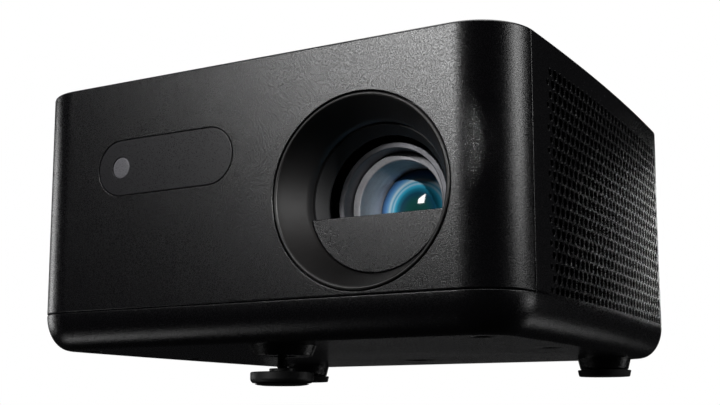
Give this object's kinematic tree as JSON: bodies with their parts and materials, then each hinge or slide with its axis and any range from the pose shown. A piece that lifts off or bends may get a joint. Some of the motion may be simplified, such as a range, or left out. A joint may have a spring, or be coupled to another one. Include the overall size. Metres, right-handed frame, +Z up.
{
  "type": "home projector",
  "caption": "Compact home projector: rounded black case, perforated crowned sides, recessed lens with half-moon shade, sensor window and screw-adjusted front foot.",
  "frame": {"origin": "on the standing surface under the middle of the body, level with the sole of the front foot as extended at rest", "axes": "+Z up; +X to the right when facing the lens from in front of it; the lens looks along -Y"},
  "size_m": [0.216, 0.2, 0.12],
  "materials": {
    "moulded_black": "fine spark-textured satin black moulding",
    "satin_black": "satin black moulding",
    "smoked_window": "smooth smoked infrared window",
    "lens_glass": "polished, blue-green anti-reflection coating",
    "rubber": "matt black rubber",
    "aluminium": "turned and blasted",
    "copper": "plain copper, lightly oxidised",
    "brass": "turned brass",
    "steel": "nickel-plated steel",
    "circuit_board": "green solder mask on glass-fibre board",
    "foam": "open-cell filter foam"
  },
  "bodies": {
    "case": {"audio_jack": "satin_black", "base_tray": "moulded_black", "camera_eye": "smoked_window", "camera_module": "satin_black", "case_screw_1": "steel", "case_screw_2": "steel", "case_screw_3": "steel", "case_screw_4": "steel", "chassis_plate": "steel", "dust_filter_left": "foam", "dust_filter_right": "foam", "exhaust_fan_frame": "satin_black", "focus_motor": "steel", "front_cover": "moulded_black", "front_foot_insert": "brass", "hdmi_port": "steel", "heat_pipe_lower": "copper", "heat_pipe_upper": "copper", "heat_sink": "aluminium", "image_chip_board": "circuit_board", "intake_fan_frame": "satin_black", "io_panel": "satin_black", "led_driver_board": "circuit_board", "led_module_1": "brass", "led_module_2": "brass", "led_module_3": "brass", "lens_baffle_ring": "satin_black", "lens_funnel": "satin_black", "lens_holder": "aluminium", "lens_shade_plate": "moulded_black", "light_base_plate": "copper", "light_engine_housing": "aluminium", "main_board": "circuit_board", "power_inlet": "satin_black", "prism": "lens_glass", "rear_cover": "moulded_black", "rear_foot_pad_1": "rubber", "rear_foot_pad_2": "rubber", "sensor_board": "circuit_board", "sensor_window": "smoked_window", "side_grille_left": "moulded_black", "side_grille_right": "moulded_black", "speaker_box_left": "satin_black", "speaker_box_right": "satin_black", "speaker_driver_left": "rubber", "speaker_driver_right": "rubber", "top_cover": "moulded_black", "tripod_insert": "brass", "usb_port": "steel"},
    "foot_sole": {"front_foot_sole": "rubber"},
    "foot_screw": {"front_foot_screw": "moulded_black"},
    "power_button": {"power_button": "satin_black"},
    "exhaust_impeller": {"exhaust_fan_impeller": "satin_black"},
    "intake_impeller": {"intake_fan_impeller": "satin_black"},
    "focus_ring": {"focus_ring": "satin_black"},
    "lens_group": {"lens_barrel": "aluminium", "front_lens": "lens_glass", "middle_lens": "lens_glass", "rear_lens": "lens_glass"},
    "focus_pinion": {"focus_pinion": "brass"}
  },
  "joints": [
    {"name": "front_foot_height", "type": "slide", "parent": "case", "child": "foot_sole", "axis": [0, 0, 1], "range_m": [-0.004, 0.0055]},
    {"name": "front_foot_turn", "type": "hinge", "parent": "foot_sole", "child": "foot_screw", "pos_m": [0, -0.0713, 0.003], "axis": [0, 0, 1], "range_deg": [-2040, 2820]},
    {"name": "power_button_press", "type": "slide", "parent": "case", "child": "power_button", "axis": [0, -1, 0], "range_m": [0, 0.0006], "stiffness_N_per_m": 600, "springref_m": -0.001},
    {"name": "exhaust_fan_spin", "type": "hinge", "parent": "case", "child": "exhaust_impeller", "pos_m": [-0.0922, 0.022, 0.074], "axis": [-1, 0, 0], "continuous": true},
    {"name": "intake_fan_spin", "type": "hinge", "parent": "case", "child": "intake_impeller", "pos_m": [0.0922, 0.022, 0.074], "axis": [1, 0, 0], "continuous": true},
    {"name": "focus_ring_turn", "type": "hinge", "parent": "case", "child": "focus_ring", "pos_m": [0.0487, -0.059, 0.0658], "axis": [0, 1, 0], "range_deg": [-45, 45]},
    {"name": "lens_focus_slide", "type": "slide", "parent": "case", "child": "lens_group", "axis": [0, -1, 0], "range_m": [-0.0012, 0.0012]},
    {"name": "focus_pinion_turn", "type": "hinge", "parent": "case", "child": "focus_pinion", "pos_m": [0.01901, -0.0465, 0.08659], "axis": [0, 1, 0], "range_deg": [-181, 181]}
  ],
  "couplings": [
    {"joint": "front_foot_height", "follows": "front_foot_turn", "m_per_rad": 0.00011141},
    {"joint": "lens_focus_slide", "follows": "focus_ring_turn", "m_per_rad": 0.0014324},
    {"joint": "focus_pinion_turn", "follows": "focus_ring_turn", "ratio": -4}
  ]
}
